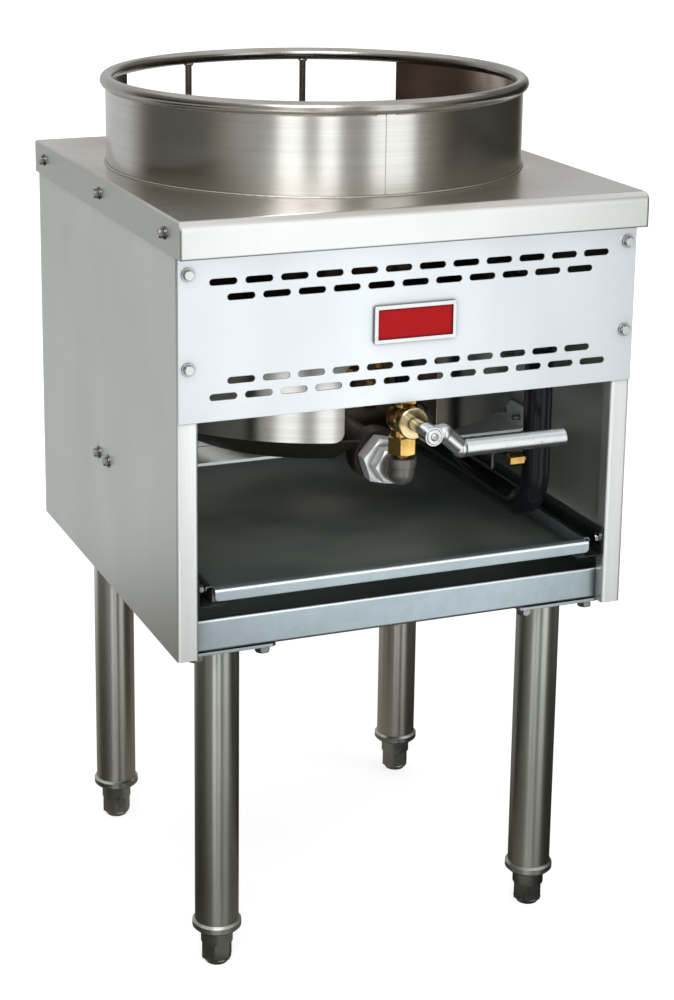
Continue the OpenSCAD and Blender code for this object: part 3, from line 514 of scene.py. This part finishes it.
def zinc_finishes():
    """Finishes of the rails, tray, runners, strap and bushing. Gives back the rails' own."""
    # The rails' top faces take a painted shade
    rail = zinc("zinc_sheet", RAIL_TONES, top_tones=RAIL_TOP_SHADE, top_from=cad_low.y)
    wear("front_rail rear_rail leg_plates", rail)
    wear("drip_tray", zinc("tray_zinc", TRAY_TONES, metallic=0.8, top_tones=TRAY_FLOOR_TONES, top_from=TRAY_WALL_Y))
    wear("left_runner right_runner", zinc("runner_zinc", RUNNER_TONES, corner_shade=0.006, ends=RUNNER_END_SHADE))
    # The strap's paler zinc: painted light
    wear("burner_strap", zinc("lit_strap_zinc", LIT_STRAP_TONES, rough=0.45, metallic=0.15, corner_shade=0.003))
    wear("inlet_bushing", zinc("zinc_fitting", BUSHING_TONES, rough=0.36, metallic=0.6, corner_shade=0.005))
    return rail


# Pale and dark tones of small steel parts and of welds
BRIGHT_TONES = ((0.72, 0.73, 0.74), (0.52, 0.52, 0.52))
BOLT_TONES = ((0.46, 0.46, 0.45), (0.26, 0.255, 0.245))
LEVER_TONES = ((0.74, 0.77, 0.79), (0.6, 0.625, 0.64))
WELD_TONES = ((0.62, 0.6, 0.57), (0.4, 0.37, 0.34))
ROD_WELD_TONES = ((0.55, 0.52, 0.48), (0.34, 0.3, 0.27))

# Paints: own colour and worn colour
PLATE_PAINT = ((0.27, 0.006, 0.008), (0.22, 0.005, 0.007))
PIPE_PAINT = ((0.004, 0.005, 0.006), (0.009, 0.009, 0.009))
THREAD_PAINT = ((0.02, 0.02, 0.022), (0.12, 0.115, 0.11))


def bright_steel(name, rough, along="x", tones=BRIGHT_TONES):
    """Turned and plated small steel parts, with painted shade in their corners."""
    look = Look(name, rough)
    lines = grain(look, along, 2200.0, 30.0)
    marks = look.noise((120, 120, 120), PATCHY)
    marked = dimmed(tones[1], MARK_SHARE)
    colour = look.mix(look.span(marks, 0.62, 0.8), look.tones(lines, tones), marked)
    look.set("Base Color", look.shaded_in_corners(colour, 0.004, DEEP_CORNER_SHADE_TONE))
    look.roughen(look.blend(lines, marks, 0.4), rough - 0.05, rough + 0.07)
    look.relief(lines, depth=0.00002, strength=0.35, edge=0.0004)
    return look


def gloss_paint(name, paint, rough, shine):
    """Glossy paint with orange peel, faint scuffs and painted black shade in corners."""
    look = Look(name, rough, metallic=0.0, Specular_IOR_Level=shine)
    scuffs = look.noise((30, 30, 30), SCUFFED)
    peel = look.noise((250, 250, 250), GENTLE)
    colour = look.mix(look.span(scuffs, 0.55, 0.8), *paint)
    look.set("Base Color", look.shaded_in_corners(colour, 0.004, BLACK_CORNER_SHADE_TONE))
    look.roughen(scuffs, rough - 0.04, rough + 0.14, (0.35, 0.75))
    look.relief(peel, depth=0.00003, strength=0.4, edge=0.0005)
    return look


def small_part_finishes():
    """Finishes of the bolts, lever, stem and plate."""
    bolt = bright_steel("bolt_steel", 0.2, "z", BOLT_TONES)
    wear("back_panel_bolts deck_bolts strap_bolts burner_screws runner_bolts leg_plate_bolts", bolt)
    wear("badge_frame valve_stem lever_screw vent_panel_bolts", bright_steel("bright_steel", 0.22))
    wear("lever", bright_steel("satin_lever", 0.28, "x", LEVER_TONES))
    wear("badge_plate", gloss_paint("red_enamel", PLATE_PAINT, rough=0.16, shine=0.06))


# Pale and dark tones of iron and brass
CASTING_TONES = ((0.05, 0.042, 0.036), (0.022, 0.019, 0.017))
ELBOW_TONES = ((0.21, 0.2, 0.185), (0.125, 0.115, 0.105))
BRASS_TONES = ((0.72, 0.48, 0.16), (0.45, 0.27, 0.08))
BONNET_TONES = ((0.68, 0.55, 0.32), (0.54, 0.41, 0.2))


def brass(name, tones, rough):
    """Machined brass, a little tarnished, with brown painted shade in its hollows."""
    look = Look(name, rough)
    tarnish = look.noise((60, 60, 60), CLOUDY)
    lines = look.noise((400, 40, 2500), GENTLE)
    look.set("Base Color", look.shaded_in_corners(look.tones(tarnish, tones, NARROW), 0.005, BROWN_CORNER_SHADE_TONE))
    look.roughen(tarnish, rough + 0.1, rough - 0.05)
    look.relief(lines, depth=0.00002, strength=0.4, edge=0.0005)
    return look


def iron(name, tones, rough, grit):
    """Cast iron with patches of scale and a sand texture of so many metres."""
    look = Look(name, rough, metallic=0.8)
    patches = look.noise((35, 35, 35), PATCHY)
    sand = look.noise((700, 700, 700), SOFT)
    look.set("Base Color", look.tones(patches, tones, NARROW))
    look.roughen(patches, rough - 0.1, rough + 0.12)
    look.relief(sand, depth=grit, strength=0.7, edge=0.0008)
    return look


def gas_train_finishes():
    """Finishes of the burner, fittings, valve and pipes."""
    casting = iron("dark_iron", CASTING_TONES, rough=0.55, grit=0.00015)
    black = gloss_paint("black_paint", PIPE_PAINT, rough=0.15, shine=0.16)
    wear("chamber_floor burner_body inlet_collar valve_elbow corner_elbow", casting)
    wear("lower_elbow close_nipple", iron("malleable_iron", ELBOW_TONES, rough=0.36, grit=0.00008))
    wear("valve_body pilot_valve burner_jets pilot_tip", brass("brass", BRASS_TONES, rough=0.22))
    wear("valve_bonnet", brass("turned_brass", BONNET_TONES, rough=0.2))
    wear("supply_pipe manifold_pipe riser_nipple", black)


# Pieces that the frame leaves to the looks: welds, the screw's recess, tray hems and the inlet's thread
def link_mesh(name, mesh, look):
    """An object for a mesh, with its finish."""
    mesh.materials.append(look.material)
    piece = bpy.data.objects.new(name, mesh)
    SCENE.collection.objects.link(piece)
    return piece


def add_piece(name, made, look, body):
    """A finished mesh as a piece that rides on a body."""
    bmesh.ops.recalc_face_normals(made, faces=made.faces)
    mesh = bpy.data.meshes.new(name)
    made.to_mesh(mesh)
    made.free()
    piece = link_mesh(name, mesh, look)
    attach(piece, body)
    return piece


def add_bead(made, points, sizes, closed=False, sides=8):
    """A round bead along points, with its own radius at each."""
    rows = []
    for i, point in enumerate(points):
        before = points[i - 1] if i or closed else point
        after = points[(i + 1) % len(points)] if i + 1 < len(points) or closed else point
        along = (after - before).normalized()
        across = along.cross(Vector(TO_TOP) if abs(along.z) < 0.9 else Vector(TO_FRONT)).normalized()
        above = across.cross(along)
        row = []
        for j in range(sides):
            lean = 2 * math.pi * j / sides
            row.append(made.verts.new(point + sizes[i] * (math.cos(lean) * across + math.sin(lean) * above)))
        rows.append(row)
    for i in range(len(rows) if closed else len(rows) - 1):
        a, b = rows[i], rows[(i + 1) % len(rows)]
        for j in range(sides):
            k = (j + 1) % sides
            made.faces.new((a[j], b[j], b[k], a[k])).smooth = True
    if not closed:
        made.faces.new(rows[0])
        made.faces.new(reversed(rows[-1]))


# Radius of each weld bead, and how deep its middle lies past the face that it joins, in metres
DECK_BEAD = 0.0016
RIM_BEAD = 0.0011
ROD_BEAD = 0.0016
WELD_SUNK = 0.0005

# The beads round the ring: a ripple and a slower swell, as shares of the radius, with their pace
FULL_TURN = 360
RIPPLE = 0.12
RIPPLE_PACE = 2.1
SWELL = 0.1
SWELLS_ROUND = 7

# In degrees from the front: half of what the wall spans below the rim, and the rim bead's gap at the seam
WALL_HALF = 132
BEAD_GAP = (-6, -1)

# The wall's upright seam: radius in metres, the share of it inside the wall, place in degrees, and ripple
SEAM_R = 0.0008
SEAM_INSIDE = 0.85
SEAM_TURN = -3.5
SEAM_RIPPLE = 0.06
SEAM_RIPPLE_PACE = 100
SEAM_STEPS = 60

# The lumps at the rods' ends: steps round, swell as a share of the radius, and how it shifts from rod to rod
ROD_STEPS = 36
ROD_SWELL = 0.2
ROD_SWELLS_ROUND = 3
ROD_SHIFT = 40


def on_ring(radius, degrees, z):
    """A point at a radius round the ring's axis, counted from the front towards the right."""
    turn = math.radians(degrees)
    return Vector((RING_AT.x + radius * math.sin(turn), RING_AT.y - radius * math.cos(turn), z))


def rippled(size, degrees):
    """A bead's radius at a place round the ring."""
    ripple = RIPPLE * math.sin(RIPPLE_PACE * degrees)
    swell = SWELL * math.sin(math.radians(SWELLS_ROUND * degrees))
    return size * (1 + ripple + swell)


def weld_round(made, radius, z, size, degrees=range(FULL_TURN)):
    """A rippled weld bead round the ring."""
    points = [on_ring(radius, d, z) for d in degrees]
    sizes = [rippled(size, d) for d in degrees]
    add_bead(made, points, sizes, closed=len(points) == FULL_TURN)


def ring_welds():
    """Beads where the ring wall meets the deck and the rim, and the wall's own upright seam."""
    weld = bright_steel("weld_steel", 0.32, "z", WELD_TONES)
    deck_bead = bmesh.new()
    weld_round(deck_bead, RING_R + WELD_SUNK, DECK_TOP, DECK_BEAD)
    add_piece("ring_weld", deck_bead, weld, "cabinet")
    rim_bead = bmesh.new()
    for degrees in (range(-WALL_HALF, BEAD_GAP[0] + 1), range(BEAD_GAP[1], WALL_HALF + 1)):
        weld_round(rim_bead, RING_R - WELD_SUNK, RIM_BOTTOM, RIM_BEAD, degrees)
    add_piece("rim_weld", rim_bead, weld, "cabinet")
    seam = bmesh.new()
    seam_at = RING_R - SEAM_INSIDE * SEAM_R
    steps = [i / SEAM_STEPS for i in range(SEAM_STEPS + 1)]
    points = [on_ring(seam_at, SEAM_TURN, RIM_BOTTOM + s * (DECK_TOP - RIM_BOTTOM)) for s in steps]
    sizes = [SEAM_R * (1 + SEAM_RIPPLE * math.sin(SEAM_RIPPLE_PACE * s)) for s in steps]
    add_bead(seam, points, sizes)
    add_piece("ring_seam", seam, weld, "cabinet")


def rod_welds():
    """Weld lumps at both ends of the rods in the rear window."""
    weld = bright_steel("rod_weld_steel", 0.34, "z", ROD_WELD_TONES)
    low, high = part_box("ring_rods")
    rod_r = (high.y - low.y) / 2
    y = (low.y + high.y) / 2
    turns = [2 * math.pi * i / ROD_STEPS for i in range(ROD_STEPS)]
    made = bmesh.new()
    for x in (low.x + rod_r, high.x - rod_r):
        sizes = [ROD_BEAD * (1 + ROD_SWELL * math.sin(ROD_SWELLS_ROUND * t + ROD_SHIFT * x)) for t in turns]
        for z in (low.z, high.z):
            points = [Vector((x + rod_r * math.cos(t), y + rod_r * math.sin(t), z)) for t in turns]
            add_bead(made, points, sizes, closed=True)
    add_piece("rod_welds", made, weld, "cabinet")


# The lever's screw: outline from its front middle round to its end, as radius and depth in millimetres
SCREW_OUTLINE = (
    (1.7, 0.03), (2.6, 0.2), (3.3, 0.65), (3.6, 1.25), (3.6, 1.5),
    (6.5, 1.5), (7.0, 1.8), (7.0, 2.5), (2.4, 2.5), (2.4, 11.5),
)
SCREW_STEPS = 48
# Its cross recess: length, width and twice the depth of a bar in millimetres, and the bars' turns in degrees
RECESS_MM = (4.2, 0.9, 1.0)
RECESS_TURNS = (20, 110)


def turned(outline, steps):
    """A turned shape along +Z from the origin, closed at both ends, from radii and depths in millimetres."""
    made = bmesh.new()
    turns = [2 * math.pi * i / steps for i in range(steps)]
    rows = []
    for radius, depth in outline:
        points = [Vector((radius * math.cos(t), radius * math.sin(t), depth)) / MM_PER_M for t in turns]
        rows.append([made.verts.new(point) for point in points])
    for a, b in zip(rows, rows[1:]):
        for i in range(steps):
            made.faces.new((a[i], a[(i + 1) % steps], b[(i + 1) % steps], b[i]))
    made.faces.new(reversed(rows[0]))
    made.faces.new(rows[-1])
    return made


def cut(made, cutter):
    """What is left of one mesh when another is taken away."""
    objects = []
    for shape in (made, cutter):
        bmesh.ops.recalc_face_normals(shape, faces=shape.faces)
        mesh = bpy.data.meshes.new("blank")
        shape.to_mesh(mesh)
        shape.free()
        objects.append(bpy.data.objects.new("blank", mesh))
        SCENE.collection.objects.link(objects[-1])
    taken = objects[0].modifiers.new("cut", "BOOLEAN")
    taken.object = objects[1]
    taken.solver = "EXACT"
    view = bpy.context.evaluated_depsgraph_get()
    left = bmesh.new()
    left.from_mesh(objects[0].evaluated_get(view).to_mesh())
    for item in objects:
        bpy.data.objects.remove(item)
    return left


def lever_screw():
    """Washer and pan head with a cross recess, in place of the plain screw."""
    low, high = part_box("lever_screw")
    recess = Vector(RECESS_MM) / MM_PER_M
    made = turned(SCREW_OUTLINE, SCREW_STEPS)
    for turn in RECESS_TURNS:
        bar = bmesh.new()
        bmesh.ops.create_cube(bar, size=1.0)
        place = Matrix.Rotation(math.radians(turn), 4, "Z") @ Matrix.Diagonal((*recess, 1))
        bmesh.ops.transform(bar, matrix=place, verts=bar.verts)
        made = cut(made, bar)
    front = Vector(((low.x + high.x) / 2, low.y, (low.z + high.z) / 2))
    place = Matrix.Translation(front) @ Matrix.Rotation(-math.pi / 2, 4, "X")
    bmesh.ops.transform(made, matrix=place, verts=made.verts)
    look = bright_steel("screw_steel", 0.24)
    screw = add_piece("lever_screw_head", made, look, "lever_handle")
    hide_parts("lever_screw")


# The hem along the tray's side walls, in metres: how far out and down, its sheet, and its lift off the wall
HEM_OUT = 0.006
HEM_DOWN = 0.004
HEM_SHEET = 0.001
HEM_LIFT = 0.0002
HEM_STEPS = 6


def hem_outline():
    """The hem's section as distance out from the wall and height above its top."""
    bend = 2 * HEM_SHEET
    points = [(-HEM_SHEET / 2, -HEM_SHEET), (-HEM_SHEET / 2, 0)]
    for radius, turns in ((bend, range(HEM_STEPS + 1)), (bend - HEM_SHEET, range(HEM_STEPS, -1, -1))):
        arc = [math.pi / 2 * (1 - i / HEM_STEPS) for i in turns]
        points += [(HEM_OUT - bend + radius * math.cos(a), radius * math.sin(a) - bend) for a in arc]
        if radius == bend:
            points += [(HEM_OUT, -HEM_DOWN), (HEM_OUT - HEM_SHEET, -HEM_DOWN)]
    return points


def tray_hems(look):
    """Hems folded outwards along the tray's two side walls."""
    top = TRAY_HIGH.z + HEM_LIFT
    made = bmesh.new()
    for side, wall in ((-1, TRAY_LOW.x), (1, TRAY_HIGH.x)):
        rows = []
        for y in (TRAY_WALL_Y + HEM_SHEET, TRAY_HIGH.y):
            rows.append([made.verts.new((wall + side * x, y, top + z)) for x, z in hem_outline()])
        count = len(rows[0])
        for i in range(count):
            k = (i + 1) % count
            made.faces.new((rows[0][i], rows[0][k], rows[1][k], rows[1][i]))
        made.faces.new(rows[0])
        made.faces.new(rows[1])
    add_piece("tray_hems", made, look, "tray")


# The gas inlet's thread: depth and pitch in metres, its turns, and steps and sides of its ridge
THREAD_DEPTH = 0.00035
THREAD_PITCH = 0.0018
THREAD_TURNS = 9
TURN_STEPS = 32
THREAD_SIDES = 4


def inlet_thread():
    """A pipe thread on the end of the supply pipe behind the back panel."""
    low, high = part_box("inlet_collar")
    pipe_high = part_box("supply_pipe")[1]
    x, z = (low.x + high.x) / 2, (low.z + high.z) / 2
    radius = pipe_high.x - x - THREAD_DEPTH
    points = []
    for i in range(THREAD_TURNS * TURN_STEPS + 1):
        turn = 2 * math.pi * i / TURN_STEPS
        y = pipe_high.y - THREAD_DEPTH - THREAD_PITCH * i / TURN_STEPS
        points.append(Vector((x + radius * math.cos(turn), y, z + radius * math.sin(turn))))
    made = bmesh.new()
    add_bead(made, points, [THREAD_DEPTH] * len(points), sides=THREAD_SIDES)
    thread = gloss_paint("thread_paint", THREAD_PAINT, rough=0.3, shine=0.4)
    add_piece("inlet_thread", made, thread, "cabinet")


# The floor and the round surround, in metres
FLOOR_HALF = 14.0
SURROUND_R = 3.0
SURROUND_H = 3.2
SURROUND_SIDES = 96

# The floor's grey as light meets it, its grey in view, and its glow in view from near the object to far off
FLOOR_GREY = 0.8
SEEN_GREY = 0.42
GLOW_FADE = (0.5, 1.5)
GLOW_LEVEL = (0.72, 1.0)

# The world's strength as light on the object, and as the camera and metal see it
WORLD_LEVEL = (0.5, 1.0)

# What metal sees between the panels, and its tint from dark to light levels
AMBIENT = 0.045
DARK_TINT = (1.12, 1.0, 0.8)
LIGHT_TINT = (0.985, 1.0, 1.0)
TINT_LEVELS = (0.1, 0.5)

# What metal sees round it: where each soft panel stands, in degrees from the front towards the right,
# half its width, the width of its soft edge, its strength, and the share of it on the floor close by
PANELS = (
    (-12, 56, 32, 0.36, 0.1),
    (-34, 6.5, 3, 1.35, 0.1),
    (-14, 5, 3, 1.45, 0.1),
    (20, 12, 5, 1.2, 0.1),
    (183, 46, 26, 0.62, 0.2),
    (-100, 40, 50, 0.022, 0.0),
)
# Over what distance the floor close by, dimmer as a painted shadow of the object, gives way to the rest, in
# metres
NEAR_FLOOR = (0.7, 1.2)

# Pale cards on the floor beside the object: headings and half their width in degrees, how far out, strength
CARD_HEADINGS = (97, -97)
CARD_HALF = (25, 50)
CARD_FROM = (1.4, 1.8)
CARD_TO = (2.2, 2.5)
CARD_LEVEL = 0.9

# The wall's paler upper part: from what height to what height in metres, and its least level
UPPER_WALL = (1.0, 1.7)
UPPER_LEVEL = 0.25


def apart_from(look, heading, degrees):
    """The angle between a level direction and a heading."""
    turn = math.radians(degrees)
    towards = (math.sin(turn), -math.cos(turn), 0)
    return look.math("ARCCOSINE", look.vector("DOT_PRODUCT", heading, towards)["Value"])


def studio_level(look):
    """The studio's brightness in the direction of a point, dimmer on the floor close to the object as a
    painted shadow.
    """
    where = look.add("ShaderNodeNewGeometry").outputs["Position"]
    flat = look.flat(where)
    away = look.vector("LENGTH", flat)["Value"]
    heading = look.vector("NORMALIZE", flat)[0]
    total = look.span(away, *NEAR_FLOOR, AMBIENT / 2, AMBIENT, smooth=True)
    for degrees, half, edge, strength, near in PANELS:
        start, end = math.radians(half - edge / 2), math.radians(half + edge / 2)
        panel = look.span(apart_from(look, heading, degrees), start, end, 1.0, 0.0, smooth=True)
        level = look.span(away, *NEAR_FLOOR, near * strength, strength, smooth=True)
        total = look.math("ADD", look.math("MULTIPLY", panel, level), total)
    reach = look.math("MULTIPLY", look.span(away, *CARD_FROM), look.span(away, *CARD_TO, CARD_LEVEL, 0.0))
    start, end = (math.radians(half) for half in CARD_HALF)
    for degrees in CARD_HEADINGS:
        card = look.span(apart_from(look, heading, degrees), start, end, 1.0, 0.0, smooth=True)
        total = look.math("ADD", look.math("MULTIPLY", card, reach), total)
    height = look.parts(where)["Z"]
    return look.math("MAXIMUM", total, look.span(height, *UPPER_WALL, 0.0, UPPER_LEVEL, smooth=True))


def plain_material(name):
    """A dull material, and the socket that its surface goes into."""
    look = Look(name, 0.9, metallic=0.0)
    return look, look.tree.nodes["Material Output"].inputs["Surface"]


def glow(look, strength, colour=(1, 1, 1)):
    """A surface that shines by itself."""
    return look.add("ShaderNodeEmission", {"Color": colour, "Strength": strength}).outputs[0]


def studio_glow(look):
    """What metal sees: warm where the studio is dark, cool where its panels are."""
    level = studio_level(look)
    return glow(look, level, look.mix(look.span(level, *TINT_LEVELS), DARK_TINT, LIGHT_TINT))


def floor():
    """A pale floor, white away from the object, that keeps the shadow and shows metal the studio."""
    look, surface = plain_material("floor")
    look.set("Base Color", (FLOOR_GREY,) * 3)
    look.set("Specular IOR Level", 0.0)
    away = look.vector("LENGTH", look.place())["Value"]
    seen = look.add("ShaderNodeAddShader", {
        0: glow(look, look.span(away, *GLOW_FADE, *GLOW_LEVEL, smooth=True)),
        1: look.add("ShaderNodeBsdfDiffuse", {"Color": (SEEN_GREY,) * 3}).outputs[0],
    }).outputs[0]
    path = look.add("ShaderNodeLightPath")
    plain = look.shader.outputs[0]
    shine = look.add("ShaderNodeMixShader", {
        0: path.outputs["Is Glossy Ray"], 1: plain, 2: studio_glow(look),
    }).outputs[0]
    look.put(surface, look.add("ShaderNodeMixShader", {
        0: path.outputs["Is Camera Ray"], 1: shine, 2: seen,
    }).outputs[0])
    mesh = bpy.data.meshes.new("floor")
    half = FLOOR_HALF
    corners = [(-half, -half, 0), (half, -half, 0), (half, half, 0), (-half, half, 0)]
    mesh.from_pydata(corners, [], [(0, 1, 2, 3)])
    link_mesh("floor", mesh, look)


def surround():
    """Soft panels round the object that only metal sees."""
    look, surface = plain_material("surround")
    look.put(surface, studio_glow(look))
    made = bmesh.new()
    bmesh.ops.create_cone(
        made, cap_ends=False, segments=SURROUND_SIDES,
        radius1=SURROUND_R, radius2=SURROUND_R, depth=SURROUND_H,
    )
    bmesh.ops.translate(made, verts=made.verts, vec=(0, 0, SURROUND_H / 2))
    mesh = bpy.data.meshes.new("surround")
    made.to_mesh(mesh)
    made.free()
    wall = link_mesh("surround", mesh, look)
    for ray in ("camera", "diffuse", "transmission", "volume_scatter", "shadow"):
        setattr(wall, "visible_" + ray, False)


def lamp(name, at, size, power, mirrored=True):
    """A softbox that faces the object's middle, and that metal mirrors or not."""
    data = bpy.data.lights.new(name, "AREA")
    data.shape = "RECTANGLE"
    data.size, data.size_y = size
    data.energy = power
    box = bpy.data.objects.new(name, data)
    box.location = at
    box.visible_glossy = mirrored
    middle = (cad_low + cad_high) / 2
    box.rotation_euler = (middle - Vector(at)).to_track_quat("-Z", "Y").to_euler()
    SCENE.collection.objects.link(box)


def lamps():
    """Soft light from the front, both sides and above."""
    lamp("key", at=(-1.2, -2.2, 2.6), size=(1.6, 1.6), power=50)
    lamp("fill", at=(2.2, -1.6, 1.8), size=(1.4, 1.8), power=20, mirrored=False)
    lamp("top", at=(0.2, 0.4, 3.0), size=(2.0, 2.0), power=26, mirrored=False)
    lamp("low", at=(-0.4, -2.6, 0.8), size=(1.6, 0.6), power=30, mirrored=False)


def world():
    """A white world that lights the object less than the camera and metal see it shine."""
    sky = bpy.data.worlds.new("studio")
    sky.use_nodes = True
    tree = sky.node_tree
    background = tree.nodes["Background"]
    background.inputs["Color"].default_value = (1, 1, 1, 1)
    path = tree.nodes.new("ShaderNodeLightPath")
    level = tree.nodes.new("ShaderNodeMapRange")
    level.inputs["To Min"].default_value, level.inputs["To Max"].default_value = WORLD_LEVEL
    shown = tree.nodes.new("ShaderNodeMath")
    shown.operation = "MAXIMUM"
    tree.links.new(path.outputs["Is Camera Ray"], shown.inputs[0])
    tree.links.new(path.outputs["Is Glossy Ray"], shown.inputs[1])
    tree.links.new(shown.outputs[0], level.inputs["Value"])
    tree.links.new(level.outputs["Result"], background.inputs["Strength"])
    SCENE.world = sky


camera()
steel_finishes()
small_part_finishes()
gas_train_finishes()
rail_zinc = zinc_finishes()
tray_hems(rail_zinc)
ring_welds()
rod_welds()
lever_screw()
inlet_thread()
world()
floor()
surround()
lamps()
